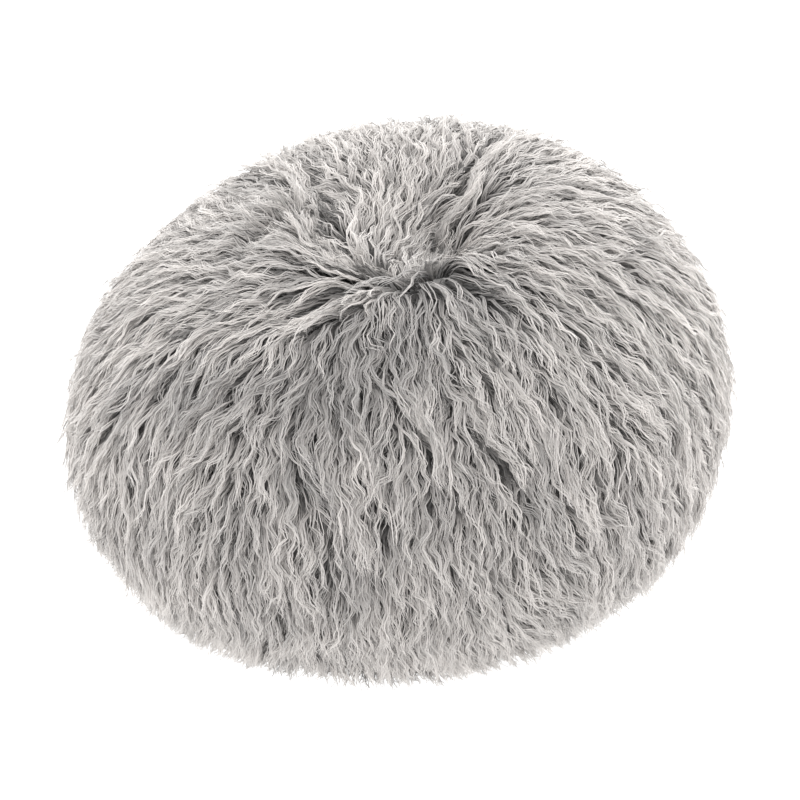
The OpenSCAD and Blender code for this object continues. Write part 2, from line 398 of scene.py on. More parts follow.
def grow(dirs, length, root_angle, end_angle, stray, steps):
    """Guide paths: points, tangents, normals and sides, each (strand, step, 3).

    Each path leaves the backing at root_angle and has laid down to end_angle over half of the way.
    """
    p = surface(dirs, BACKING)
    n = normals(dirs, BACKING)[0]
    points, outs = [p], [n]
    stride = length / steps
    for k in range(steps):
        s = (k + 0.5) / steps
        lie, firm = flow(p, n, stray)
        angle = (root_angle + (end_angle - root_angle) * min(1, s / 0.55))[:, None]
        hang = DROOP * s + OVERHANG_DROOP * (0.1 - n[:, 2:]).clip(0, 1)
        ahead = lie * np.cos(angle) * (0.3 + 0.7 * firm) + n * (np.sin(angle) + 0.5 * (1 - firm))
        p = p + unit(ahead - UP * hang) * stride[:, None]
        dirs = directions_of(p)
        plain = unbend(p) - CENTRE
        height = np.linalg.norm(plain, axis=-1) - np.interp(np.arcsin(dirs[:, 2]), *BACKING)
        least = mix(*BACKING_CLEAR, s)
        n = normals(dirs, BACKING)[0]
        p = p + n * (least - height).clip(0)[:, None]
        points.append(p)
        outs.append(n)
    points = np.stack(points, 1)
    outs = np.stack(outs, 1)
    along = unit(np.gradient(points, axis=1))
    side = unit(np.cross(along, outs))
    return points, along, outs, side


def press(points):
    """Lays whatever would pass under the floor out along it, and presses down what stands too high."""
    under = (FLOOR_BAND - points[..., 2]).clip(0)
    outward = unit(points * (1, 1, 0))
    points = points + outward * (0.05 * under)[..., None]
    points[..., 2] = np.maximum(points[..., 2], FLOOR_CLEAR + 0.1 * under)
    points[..., 2] -= 0.7 * (points[..., 2] - PRESSED_Z).clip(0)
    return points


# ---- Meshes ----

def new_object(name, data):
    made = bpy.data.objects.new(name, data)
    bpy.context.scene.collection.objects.link(made)
    return made


def mesh_of(name, verts, faces, uv=None, uv_name="OFBake", smooth=True):
    """A mesh object from corner points, faces of one kind, and a UV for each point."""
    mesh = bpy.data.meshes.new(name)
    sides = faces.shape[1]
    mesh.vertices.add(len(verts))
    mesh.vertices.foreach_set("co", verts.astype(np.float32).ravel())
    mesh.loops.add(faces.size)
    mesh.loops.foreach_set("vertex_index", faces.astype(np.int32).ravel())
    mesh.polygons.add(len(faces))
    mesh.polygons.foreach_set("loop_start", np.arange(len(faces), dtype=np.int32) * sides)
    mesh.polygons.foreach_set("use_smooth", np.full(len(faces), smooth))
    mesh.update(calc_edges=True)
    if uv is not None:
        uv_data = mesh.uv_layers.new(name=uv_name).data
        uv_data.foreach_set("uv", uv[faces.ravel()].astype(np.float32).ravel())
    return new_object(name, mesh)


def put(piece, material, slot, *nodes):
    """Gives a piece its material and hides the CAD nodes that it stands for. It rides on the bag. slot is
    not used.
    """
    piece.data.materials.append(material)
    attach(piece, "root")
    if nodes:
        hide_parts(*nodes)
    return piece


def grid_faces(rows, columns):
    i = np.arange(rows * columns).reshape(rows, columns)
    return stack(i[:-1, :-1], i[:-1, 1:], i[1:, 1:], i[1:, :-1]).reshape(-1, 4)


def thick_sheet(name, outer, inner, uv):
    """A closed sheet of cloth from two matching grids of points, with a UV in metres for its weave."""
    rows, columns = outer.shape[:2]
    count = rows * columns
    i = np.arange(count).reshape(rows, columns)
    rim = np.concatenate([i[0], i[1:, -1], i[-1, -2::-1], i[-2:0:-1, 0]])
    after = np.roll(rim, -1)
    over = grid_faces(rows, columns)
    walls = stack(after, rim, rim + count, after + count)
    faces = np.concatenate([over, over[:, ::-1] + count, walls])
    verts = np.concatenate([outer.reshape(-1, 3), inner.reshape(-1, 3)])
    return mesh_of(name, verts, faces, np.tile(uv.reshape(-1, 2), (2, 1)), "cloth")


def cut_size(grid):
    """The width, length and area of the flat piece that a grid of cloth was cut from."""
    across = np.linalg.norm(np.diff(grid, axis=1), axis=-1).sum(1)
    along = np.linalg.norm(np.diff(grid, axis=0), axis=-1).sum(0)
    one = np.cross(grid[1:, 1:] - grid[:-1, :-1], grid[1:, :-1] - grid[:-1, 1:])
    return across.max(), along.max(), np.linalg.norm(one, axis=-1).sum() / 2


def tubes(name, centres, out, side, half_out, half_side, corners):
    """Separate tubes with open ends: centres, out and side are (tube, ring, 3), the halves (tube, ring)."""
    a = np.arange(corners) * math.tau / corners
    ring = (
        centres[:, :, None]
        + out[:, :, None] * (half_out[:, :, None] * np.cos(a))[..., None]
        + side[:, :, None] * (half_side[:, :, None] * np.sin(a))[..., None]
    )
    index = np.arange(ring.size // 3).reshape(ring.shape[:3])
    one, two = index[:, :-1], index[:, 1:]
    faces = stack(one, two, np.roll(two, -1, 2), np.roll(one, -1, 2)).reshape(-1, 4)
    return mesh_of(name, ring.reshape(-1, 3), faces)


def stitches(name, lines, pitch, thread):
    """Rows of separate stitches. Each line is a path of closely spaced points, with outward directions."""
    centres, outs, sides = [], [], []
    share = np.array((-0.40, -0.28, 0.0, 0.28, 0.40))
    for path, outward in lines:
        reach = np.concatenate([[0], np.cumsum(np.linalg.norm(np.diff(path, axis=0), axis=1))])
        at = (np.arange(pitch / 2, reach[-1], pitch)[:, None] + share * pitch).clip(0, reach[-1])
        centre = np.stack([np.interp(at, reach, path[:, k]) for k in range(3)], -1)
        out = unit(np.stack([np.interp(at, reach, outward[:, k]) for k in range(3)], -1))
        centres.append(centre)
        outs.append(out)
        sides.append(unit(np.cross(centre[:, -1:] - centre[:, :1], out)))
    centres, outs, sides = (np.concatenate(v) for v in (centres, outs, sides))
    rise = np.array((-1.0, 0.2, 0.6, 0.2, -1.0)) * thread
    half = np.broadcast_to(np.array((0.7, 1.0, 1.0, 1.0, 0.7)) * thread, centres.shape[:2])
    return tubes(name, centres + outs * rise[None, :, None], outs, sides, half, half, 5)


# ---- Materials ----

def set_inputs(node, values):
    for name, value in values.items():
        node.inputs[name].default_value = value


def new_material(name, color, roughness, more=()):
    """A material and its shader. more holds further inputs of the shader."""
    material = bpy.data.materials.new(name)
    material.use_nodes = True
    shader = material.node_tree.nodes["Principled BSDF"]
    set_inputs(shader, {"Base Color": (*color, 1), "Roughness": roughness, **dict(more)})
    return material, shader


def add(material, kind, **inputs):
    """A shader node with some of its inputs set."""
    made = material.node_tree.nodes.new("ShaderNode" + kind)
    set_inputs(made, inputs)
    return made


def link(material, output, socket):
    material.node_tree.links.new(output, socket)


def math_node(material, operation, a, b):
    """a and b are outputs, or numbers."""
    made = add(material, "Math")
    made.operation = operation
    for socket, value in zip(made.inputs, (a, b)):
        if isinstance(value, (int, float)):
            socket.default_value = value
        else:
            link(material, value, socket)
    return made.outputs[0]


def ramp(material, value, stops):
    """A colour ramp of (position, colour) stops."""
    made = add(material, "ValToRGB")
    elements = made.color_ramp.elements
    while len(elements) < len(stops):
        elements.new(0.5)
    for element, (position, color) in zip(elements, stops):
        element.position = position
        element.color = (*color, 1)
    link(material, value, made.inputs["Fac"])
    return made.outputs["Color"]


def times(material, a, b):
    """Two colour outputs multiplied."""
    made = add(material, "Mix", Factor=1)
    made.data_type, made.blend_type = "RGBA", "MULTIPLY"
    link(material, a, made.inputs[6])
    link(material, b, made.inputs[7])
    return made.outputs[2]


def finish_with(material, shader, color, height=None, depth=None):
    """Links the colour, and the bump if there is one."""
    link(material, color, shader.inputs["Base Color"])
    if height is not None:
        bump = add(material, "Bump", Strength=0.8, Distance=depth)
        link(material, height, bump.inputs["Height"])
        link(material, bump.outputs["Normal"], shader.inputs["Normal"])
    return material


def noise(material, scale, detail=4.0):
    """Noise on the object's own coordinates."""
    place = add(material, "TexCoord")
    made = add(material, "TexNoise", Scale=scale, Detail=detail)
    link(material, place.outputs["Object"], made.inputs["Vector"])
    return made.outputs["Fac"]


def bands(material, direction, pitch, distortion=0.0):
    """Parallel threads at a pitch in metres, on the cloth's UV."""
    uv = add(material, "UVMap")
    uv.uv_map = "cloth"
    made = add(material, "TexWave", Scale=math.pi / 10 / pitch, Distortion=distortion)
    made.bands_direction = direction
    link(material, uv.outputs["UV"], made.inputs["Vector"])
    return made.outputs["Fac"]


def pile_material(name, root, middle, tip):
    """Colour runs from root to tip along the lock, and each lock has its own tone."""
    gloss = {"Sheen Weight": 0.25, "Sheen Roughness": 0.5, "Specular IOR Level": 0.25}
    material, shader = new_material(name, middle, 0.62, gloss)
    uv = add(material, "UVMap")
    uv.uv_map = "OFBake"
    parts = add(material, "SeparateXYZ")
    link(material, uv.outputs["UV"], parts.inputs[0])
    # Dark roots: partly the pile's own colour and partly painted shade where the pile is deepest.
    along = ramp(material, parts.outputs["Y"], ((0.0, root), (0.38, middle), (1.0, tip)))
    tone = ramp(material, parts.outputs["X"], ((0.0, (0.50, 0.50, 0.50)), (1.0, (1.0, 0.985, 0.97))))
    return finish_with(material, shader, times(material, along, tone))


CLOTH_SHEEN = {"Sheen Weight": 0.15}


def worn(material, color, scale, darkest):
    """A cloth's colour, a little darker where it is worn."""
    patches = ramp(material, noise(material, scale), ((0.3, (darkest,) * 3), (0.7, (1.0,) * 3)))
    return times(material, color, patches)


def woven_material(name, dark, light, pitch, depth, roughness=0.85):
    """A plain weave: threads cross in both directions."""
    material, shader = new_material(name, light, roughness, CLOTH_SHEEN)
    warp, weft = bands(material, "X", pitch), bands(material, "Y", pitch)
    weave = math_node(material, "ABSOLUTE", math_node(material, "SUBTRACT", warp, weft), 0.0)
    color = ramp(material, weave, ((0.1, dark), (0.8, light)))
    return finish_with(material, shader, worn(material, color, 14, 0.86), weave, depth)


def ribbed_material(name, dark, light, pitch, depth):
    """Ribs across a tape or a knitted backing, with a finer thread along it."""
    material, shader = new_material(name, light, 0.8, CLOTH_SHEEN)
    across = bands(material, "X", pitch, 0.4)
    fine = math_node(material, "MULTIPLY", bands(material, "Y", pitch * 0.6), 0.35)
    ribs = math_node(material, "ADD", across, fine)
    color = ramp(material, ribs, ((0.15, dark), (1.0, light)))
    return finish_with(material, shader, worn(material, color, 30, 0.88), ribs, depth)


def speckled_material(name, dark, light, roughness, metallic=0.0, scale=600):
    """Fine speckle and bump for thread, moulded nylon and cast or crimped metal."""
    material, shader = new_material(name, light, roughness, {"Metallic": metallic})
    grain = noise(material, scale)
    color = ramp(material, grain, ((0.35, dark), (0.65, light)))
    return finish_with(material, shader, color, grain, 0.00005)


def foam_material(name):
    """Shredded foam: each chip has its own shade of cream, white or grey, with open pores."""
    tan, cream, white, grey = (0.56, 0.47, 0.28), (0.62, 0.56, 0.41), (0.64, 0.62, 0.57), (0.30, 0.34, 0.39)
    material, shader = new_material(name, cream, 0.95)
    place = add(material, "TexCoord")
    chips = add(material, "TexVoronoi", Scale=60)
    link(material, place.outputs["Object"], chips.inputs["Vector"])
    parts = add(material, "SeparateXYZ")
    link(material, chips.outputs["Color"], parts.inputs[0])
    shade = ramp(material, parts.outputs["X"], ((0.0, tan), (0.4, cream), (0.75, white), (1.0, grey)))
    pores = noise(material, 900, 2)
    pitted = ramp(material, pores, ((0.35, (0.72,) * 3), (0.6, (1.0,) * 3)))
    return finish_with(material, shader, times(material, shade, pitted), pores, 0.0004)


# The guard hair's dark roots are partly the pile's own colour and partly painted shade deep in the pile.
guard_material = pile_material(
    "fur_guard", (0.07, 0.066, 0.063), (0.47, 0.451, 0.438), (0.80, 0.773, 0.752))
# The undercoat is painted nearly black, as painted shade between the locks.
under_material = pile_material(
    "fur_under", (0.04, 0.038, 0.037), (0.11, 0.106, 0.103), (0.20, 0.193, 0.187))
# The backing is painted dark, as painted shade in the gaps between the locks.
backing_material = ribbed_material(
    "fur_backing", (0.08, 0.076, 0.073), (0.18, 0.172, 0.165), 0.0016, 0.0004)
base_material = woven_material(
    "base_oxford", (0.025, 0.025, 0.028), (0.085, 0.085, 0.09), 0.0012, 0.0003)
binding_material = ribbed_material(
    "base_binding", (0.05, 0.05, 0.053), (0.14, 0.14, 0.145), 0.0018, 0.0003)
tape_material = ribbed_material(
    "cover_tape", (0.09, 0.09, 0.095), (0.22, 0.22, 0.225), 0.0014, 0.0002)
coil_material = speckled_material(
    "cover_coil", (0.14, 0.14, 0.145), (0.20, 0.20, 0.205), 0.35)
liner_material = woven_material(
    "liner_cloth", (0.36, 0.355, 0.34), (0.56, 0.55, 0.525), 0.0009, 0.0002)
liner_tape_material = ribbed_material(
    "liner_tape", (0.42, 0.42, 0.405), (0.64, 0.635, 0.62), 0.0012, 0.0002)
liner_coil_material = speckled_material(
    "liner_coil", (0.52, 0.52, 0.51), (0.64, 0.64, 0.63), 0.35)
label_material = woven_material(
    "care_label", (0.50, 0.50, 0.495), (0.66, 0.66, 0.655), 0.0006, 0.0001, 0.45)
dark_thread = speckled_material(
    "dark_thread", (0.10, 0.10, 0.105), (0.22, 0.22, 0.225), 0.6, scale=2500)
light_thread = speckled_material(
    "light_thread", (0.55, 0.55, 0.53), (0.74, 0.74, 0.72), 0.6, scale=2500)
stop_material = speckled_material(
    "stop_aluminium", (0.34, 0.34, 0.35), (0.48, 0.48, 0.49), 0.38, metallic=1.0)


def slider_material():
    """Dark paint over cast zinc, with small worn spots and a fine orange-peel surface."""
    material, shader = new_material("slider_paint", (0.10, 0.10, 0.105), 0.42, {"Metallic": 0.5})
    spots = math_node(material, "MULTIPLY", noise(material, 350, 6), noise(material, 1400, 2))
    color = ramp(material, spots, ((0.33, (0.06, 0.06, 0.063)), (0.40, (0.30, 0.30, 0.31))))
    return finish_with(material, shader, color, noise(material, 1500), 0.00004)


# ---- The camera, at the photograph's viewing angle ----

ELEVATION = math.radians(26)
DISTANCE = 3.007
AIM_Z = 0.245
camera_data = bpy.data.cameras.new("camera")
camera_data.lens = 94.7
camera_data.sensor_width = 36
camera = new_object("camera", camera_data)
camera.location = (0.004, -DISTANCE * math.cos(ELEVATION), AIM_Z + DISTANCE * math.sin(ELEVATION))
camera.rotation_euler = (math.pi / 2 - ELEVATION, 0, 0)
bpy.context.scene.camera = camera


# ---- The fur ----

NODE_OF = [f"fur_panel_{i + 1}" for i in range(PANELS)] + ["fur_top_cap"]
FLAT = ((-1.0, 0.0), (1.0, 0.0))
RIDGED = ((-1.0, 0.0), (0.0, 0.8), (1.0, 0.0))
# A kind of pile: clumps per square metre, locks in each clump, the clump's radius, each lock's width,
# cross-section and length, the angle at which it leaves the backing, the steps along it, how far a clump
# gathers at its tip, the material, and how many pieces it makes on each sewn panel.
Pile = namedtuple(
    "Pile", "kind per_m2 per_clump spread width section length rise steps gather material pieces")
UNDERCOAT = Pile(
    "undercoat", per_m2=8000, per_clump=4, spread=0.008, width=0.0036, section=FLAT,
    length=0.045, rise=0.9, steps=4, gather=0.3, material=under_material, pieces=1)
GUARD_HAIR = Pile(
    "guard_hair", per_m2=9800, per_clump=5, spread=0.0065, width=0.0017, section=RIDGED,
    length=0.092, rise=1.0, steps=8, gather=0.8, material=guard_material, pieces=3)
STRAY_HAIR = Pile(
    "stray_hair", per_m2=700, per_clump=2, spread=0.010, width=0.0014, section=RIDGED,
    length=0.085, rise=1.15, steps=9, gather=0.2, material=guard_material, pieces=1)
# A clump's curl: the length of one turn and the sideways reach. Each lock in it has a finer wave too.
CURL_LENGTH = 0.042
CURL_SWAY = 0.0044
LOCK_WAVE = 0.0021
# Along the lip: how much more the fringe stands up and how much painted shade darkens it, and how much
# flatter the matted band lies and how much painted light makes it paler.
FRINGE_RISE, FRINGE_PAINTED_SHADE = 0.4, 0.5
MATTED_FLATTER, MATTED_PAINTED_LIGHT = 0.6, 0.4
# The mean tone, from 0 for the darkest lock to 1 for the palest, and how much tones differ over
# long distances, between clumps and between locks, and how much painted shade darkens the curliest place.
TONE = 0.76
TONE_PATCHES = 0.20
TONE_CLUMPS = 0.12
TONE_LOCKS = 0.22
CURLS_PAINTED_SHADE = 0.22
tone_waves = Waves(0.11)


def panel_of(dirs):
    """The sewn piece that each root stands on: 0 to 5 round the side, and 6 for the crown piece."""
    plain = unbend(surface(dirs, BACKING)) - CENTRE
    azimuth = np.degrees(np.arctan2(plain[:, 1], plain[:, 0])) % 360
    edge_r, edge_z = profile(np.array(CAP_START), PILE, HEM_STEP)
    on_cap = dirs[:, 2] > math.sin(math.atan2(edge_z - BELLY_Z, edge_r))
    return np.where(on_cap, PANELS, (azimuth // (360 / PANELS)).astype(int))


def locks(name, guides, pile, tone):
    """Fine tapered locks round each guide, as one mesh of open strands with a flat or ridged section."""
    points, along, outs, side = (np.repeat(g, pile.per_clump, axis=0) for g in guides)
    count, rings = points.shape[:2]
    corners = len(pile.section)
    s = np.linspace(0, 1, rings)[None, :, None]
    angle = one_each(count, 0, math.tau)
    away = pile.spread * np.sqrt(rng.random((count, 1, 1)))
    gathered = 1 - pile.gather * s ** 1.3 * one_each(count, 0.6, 1.15)
    depth = one_each(count, -0.35, 0.5) * pile.spread
    points = points + side * away * np.cos(angle) * gathered
    points = points + along * away * np.sin(angle) * gathered
    points = points + outs * depth * np.sqrt(s)
    wave = one_each(count, 1.6, 3.2)
    phase = one_each(count, 0, math.tau)
    points = points + side * LOCK_WAVE * s * np.sin(math.tau * wave * s + phase)
    points = points + outs * 0.0010 * s * np.cos(math.tau * wave * s + phase)
    points = press(points)
    twist = one_each(count, -0.9, 0.9)
    across = side * np.cos(twist) + outs * np.sin(twist)
    ridge = outs * np.cos(twist) - side * np.sin(twist)
    half = pile.width / 2 * one_each(count, 0.6, 1.25) * (1.02 - s ** 2.2) ** 0.8
    ring = np.stack([points + (across * a + ridge * b) * half for a, b in pile.section], 2)
    index = np.arange(count * rings * corners).reshape(count, rings, corners)
    a, b = index[:, :-1, :-1], index[:, :-1, 1:]
    c, d = index[:, 1:, 1:], index[:, 1:, :-1]
    faces = stack(a, b, c, d).reshape(-1, 4)
    tones = np.repeat(tone, pile.per_clump) + rng.normal(0, TONE_LOCKS, count)
    u = np.broadcast_to(tones.clip(0.02, 0.98)[:, None, None], (count, rings, corners))
    v = np.broadcast_to(np.linspace(0.02, 0.98, rings)[None, :, None], (count, rings, corners))
    return mesh_of(name, ring.reshape(-1, 3), faces, stack(u, v).reshape(-1, 2))


def lip(here, on_crown):
    """How much each place belongs to the fringe in front of the parting, which gets painted shade, to the
    matted band behind it, which gets painted light, and to the lip left of the whorl, where the fringe also
    rises."""
    x = here[:, 0]
    ahead = ahead_of_parting(here)
    left = on_crown * smoothstep(0.06, -0.02, x)
    fringe = on_crown * smoothstep(0.14, 0.06, x)
    fringe = fringe * smoothstep(0.0, 0.015, ahead) * smoothstep(0.10, 0.03, ahead)
    matted = left * smoothstep(0.0, -0.01, ahead) * smoothstep(-0.075, -0.05, ahead)
    return fringe, matted, left


def fur(pile):
    """Grows one kind of pile all over the bag. Gives the pieces that it makes on each sewn panel."""
    dirs = scatter(pile.per_m2)
    owner = panel_of(dirs)
    count = len(dirs)
    here = surface(dirs, BACKING)
    low_down = mix(0.45, 1.0, smoothstep(0.02, 0.2, here[:, 2]))
    long = pile.length * rng.uniform(0.75, 1.15, count) * low_down
    on_crown = smoothstep(BELLY_Z + 0.08, BELLY_Z + 0.24, here[:, 2])
    fringe, matted, left = lip(here, on_crown)
    angle = pile.rise * rng.uniform(0.7, 1.25, count) * mix(1.0, 0.75, on_crown)
    angle = angle * (1 + FRINGE_RISE * fringe * left - MATTED_FLATTER * matted)
    ends = rng.normal(0.06, 0.16, count)
    stray = rng.normal(0, 0.17, count)
    points, along, outs, side = grow(dirs, long, angle, ends, stray, pile.steps)
    s = np.linspace(0, 1, pile.steps + 1)[None, :, None]
    turns = (long / CURL_LENGTH)[:, None, None] * one_each(count, 0.8, 1.25)
    phase = one_each(count, 0, math.tau)
    sway = CURL_SWAY * one_each(count, 0.5, 1.3) * s ** 0.7
    points = points + side * sway * np.sin(math.tau * turns * s + phase)
    points = points + outs * sway * 0.5 * np.cos(math.tau * turns * s + phase)
    # Painted shade: the locks round the curliest place are made darker.
    tone = TONE - CURLS_PAINTED_SHADE * around(here, CURLS_AT, 1.6 * CURLS_REACH)
    tone = tone + TONE_PATCHES * tone_waves.at(here) + rng.normal(0, TONE_CLUMPS, count)
    # Painted shade darkens the fringe under the lip, and painted light pales the matted band that faces up.
    tone = tone - FRINGE_PAINTED_SHADE * fringe + MATTED_PAINTED_LIGHT * matted
    made = []
    for place, node in enumerate(NODE_OF):
        mine = np.flatnonzero(owner == place)
        made.append([])
        for number, part in enumerate(np.array_split(mine, pile.pieces)):
            ending = f"_{number + 1}" if pile.pieces > 1 else ""
            guides = [g[part] for g in (points, along, outs, side)]
            piece = locks(f"{node}_{pile.kind}{ending}", guides, pile, tone[part])
            made[-1].append(put(piece, pile.material, "fur", node))
    return made


# ---- Sewn panels, for the fur's backing and for the liner ----

# A sewn layer: inset of its outside, thickness, underside, how far the cloth swells between its seams,
# and how deep the seams pucker.
Layer = namedtuple("Layer", "inset thickness underside swell pucker")
BACKING_LAYER = Layer(PILE - 0.0008, thickness=0.0014, underside=HEM_STEP, swell=0.0, pucker=0.0004)
LINER_LAYER = Layer(LINER_INSET, thickness=LINER_T, underside=LINER_Z, swell=0.0012, pucker=0.0008)
wrinkle = Waves(0.05)


def swollen(layer, azimuth, t, edge):
    """The layer's outer and inner grids, where edge is the distance to the nearest seam."""
    flat = bag_point(azimuth, t, layer.inset, layer.underside)
    gathers = 0.5 + 0.5 * np.sin(math.tau * t / 0.05 + 2 * np.sin(20 * t))
    lift = layer.swell * (1 - np.exp(-(edge / 0.03) ** 2)) * (1 + 0.4 * wrinkle.at(flat).clip(-1, 1))
    lift = lift - layer.pucker * np.exp(-(edge / 0.012) ** 2) * gathers
    inset = layer.inset - lift
    outer = bag_point(azimuth, t, inset, layer.underside)
    inner = bag_point(azimuth, t, inset + layer.thickness, layer.underside + layer.thickness)
    return outer, inner


def side_panel(name, number, layer, rows, columns=40):
    """One gore-shaped panel from the base seam up to the crown seam."""
    start = math.radians((number - 1) * 360 / PANELS + SEAM_GAP)
    end = math.radians(number * 360 / PANELS - SEAM_GAP)
    heights = np.linspace(0, CAP_START - CROWN_SEAM, rows)
    azimuth, t = np.meshgrid(np.linspace(start, end, columns), heights)
    radius, _ = profile(t, layer.inset, layer.underside)
    edge = np.minimum(azimuth - start, end - azimuth) * radius
    outer, inner = swollen(layer, azimuth, t, edge)
    width, length, area = cut_size(outer)
    uv = stack(azimuth * BELLY_R, t * length / CAP_START)
    return thick_sheet(name, outer, inner, uv), (width, length, area)


def crown_sheet(name, layer, cells=70):
    """The round crown piece, on a square grid drawn out to a circle."""
    u, v = np.meshgrid(np.linspace(-1, 1, cells), np.linspace(-1, 1, cells))
    x, y = u * np.sqrt(1 - v * v / 2), v * np.sqrt(1 - u * u / 2)
    share = np.hypot(x, y).clip(0, 1)
    t = 2 - share * (2 - CAP_START - CROWN_SEAM)
    radius, _ = profile(np.array(CAP_START), layer.inset, layer.underside)
    outer, inner = swollen(layer, np.arctan2(y, x), t, (1 - share) * radius)
    return thick_sheet(name, outer, inner, stack(x, y) * radius), cut_size(outer)


def declare(piece, cut):
    """Takes the smaller of a cut's area and its width times length, and keeps nothing. piece is not used.
    """
    width, length, area = cut
    min(area, width * length)


def seam_lines(layer, offset=0.004):
    """The two topstitched lines beside every side seam."""
    t = np.linspace(0.02, CAP_START - 0.01, 400)
    radius, _ = profile(t, layer.inset, layer.underside)
    lines = []
    for number in range(PANELS):
        for side in (-1, 1):
            azimuth = math.radians(number * 360 / PANELS) + side * offset / radius
            on = bag_point(azimuth, t, layer.inset, layer.underside)
            under = bag_point(azimuth, t, layer.inset + 0.01, layer.underside)
            lines.append((on, unit(on - under)))
    return lines


# ---- The flat bases, with their folded hems and zips ----

def zip_heights(fastener):
    """The height of the tapes' underside and of the chain's middle."""
    tape_z = fastener.low + 3 * fastener.cloth_t
    return tape_z, tape_z + fastener.tape_t / 2


def flat_cloth(name, fastener, side, x, y, top, bottom):
    """A sheet of cloth on one side of a zip, from the heights of its two faces."""
    place = (x + lean_x(fastener.low), y * side)
    grids = [stack(*place, z)[:, ::side] for z in (top, bottom)]
    return thick_sheet(name, *grids, stack(x, y)[:, ::side])


def base_half(name, fastener, side, columns=181):
    """Half of a round base, with its hem folded twice along the zip.

    side is -1 at the front and 1 at the back.
    """
    half_slot = fastener.chain / 2 + 4 * fastener.coil_d
    x = np.linspace(-1, 1, columns) * fastener.disc_r * 0.998
    in_slot = smoothstep(half_slot + 0.002, half_slot - 0.001, np.abs(x))
    first = mix(SEAM_CLEAR / 2, SLOT_HALF, in_slot)
    last = np.sqrt(fastener.disc_r ** 2 - x * x)
    middle = np.minimum(SLOT_HALF + HEM_W + 0.003, last)
    near = np.linspace(0, 1, 20)[:, None] ** 1.5
    far = np.linspace(0, 1, 46)[1:, None]
    y = np.concatenate([mix(first, middle, near), mix(middle, last, far)])
    hem_end = SLOT_HALF + HEM_W
    beside_slot = smoothstep(half_slot + 0.001, half_slot - 0.001, np.abs(x))
    hem = smoothstep(hem_end + 0.001, hem_end - 0.0005, y) * beside_slot
    fold_r = 1.5 * fastener.cloth_t
    from_fold = (y - first).clip(0, fold_r)
    fold = 0.9 * (fold_r - np.sqrt(fold_r ** 2 - (fold_r - from_fold) ** 2)) * in_slot
    ripple = wrinkle.at(stack(x, y * side, 0 * x))
    top = fastener.low + fastener.cloth_t * (1 + 2 * hem) - fold + 0.0002 * ripple
    bottom = fastener.low + fold + 0.0002 * (1 + ripple.clip(-1, 1))
    return flat_cloth(name, fastener, side, x, y, top, bottom)


def level_line(x, y, z, outward=1):
    """A level line to stitch along: its points, and the way its stitches stand out, up or down."""
    path = stack(x, y, z)
    return path, np.broadcast_to(outward * UP, path.shape)


def hem_lines(fastener, side, height, outward):
    """The two topstitched lines that hold the hem and the zip tape."""
    x = np.linspace(-1, 1, 300) * fastener.chain / 2 + lean_x(fastener.low)
    places = (SLOT_HALF + 0.0025, SLOT_HALF + fastener.tape_w * 0.7)
    return [level_line(x, side * away, height, outward) for away in places]


def zip_tape(name, fastener, side):
    """A woven tape, a little thicker at the cord along its inner edge."""
    length = fastener.chain + 7 * fastener.coil_d
    near = CHAIN_GAP / 2 + fastener.coil_d + SEAM_CLEAR / 2
    across = near + np.linspace(0, 1, 22) * fastener.tape_w
    x, y = np.meshgrid(np.linspace(-length / 2, length / 2, 181), across)
    cord = 0.00015 * np.exp(-((y - near - 0.0008) / 0.0005) ** 2)
    tape_z, _ = zip_heights(fastener)
    wave = 0.00006 * np.sin(x * 300)
    top, bottom = tape_z + fastener.tape_t + cord + wave, tape_z - cord + wave
    return flat_cloth(name, fastener, side, x, y, top, bottom)


def zip_coil(name, fastener, side):
    """One row of the nylon coil: a flattened helix whose turns lie between the other row's."""
    wire = 0.125 * fastener.coil_d
    turns = fastener.chain / fastener.pitch
    a = np.linspace(0, math.tau * turns, int(turns * 12))
    phase = math.pi if side > 0 else 0
    inner, outer = CHAIN_GAP * 0.36, CHAIN_GAP / 2 + fastener.coil_d
    middle, half = (inner + outer) / 2, (outer - inner) / 2 - wire
    _, chain_z = zip_heights(fastener)
    cos, sin = np.cos(a + phase), np.sin(a + phase)
    x = lean_x(fastener.low) - fastener.chain / 2 + a / math.tau * fastener.pitch
    z = chain_z + (fastener.coil_d / 2 - wire) * sin
    centres = stack(x, side * (middle + half * cos), z)
    along = unit(np.gradient(centres, axis=0))
    out = unit(stack(0 * a, side * cos, sin))
    across = unit(np.cross(along, out))
    width = np.full((1, len(a)), wire)
    return tubes(name, centres[None], np.cross(across, along)[None], across[None], width, width, 5)


def binding(name, columns=420):
    """The tape folded round the base seam: a soft oblong section swept round the seam."""
    a = np.linspace(0, math.tau, columns)
    b = np.linspace(0, math.tau, 25)
    a, b = np.meshgrid(a, b)
    r_mid = SEAM_R - SEAM_CLEAR - BINDING_W / 2
    z_mid, z_half = (HEM_STEP + BINDING_LOW) / 2, (HEM_STEP - BINDING_LOW) / 2
    square = 0.55
    across = np.sign(np.cos(b)) * np.abs(np.cos(b)) ** square
    up = np.sign(np.sin(b)) * np.abs(np.sin(b)) ** square
    r = r_mid + BINDING_W / 2 * across * (1 - 0.02 * np.sin(60 * a) ** 2)
    place = stack(r * np.cos(a) + lean_x(HEM_STEP), r * np.sin(a), z_mid + z_half * up)
    uv = stack(a * r_mid, b * BINDING_W / math.pi)
    return mesh_of(name, place.reshape(-1, 3), grid_faces(*a.shape)[:, ::-1], uv.reshape(-1, 2), "cloth")


def round_line(radius, z, outward):
    """A stitched line round the base."""
    a = np.linspace(0, math.tau, 700)
    return level_line(radius * np.cos(a) + lean_x(HEM_STEP), radius * np.sin(a), z, outward)


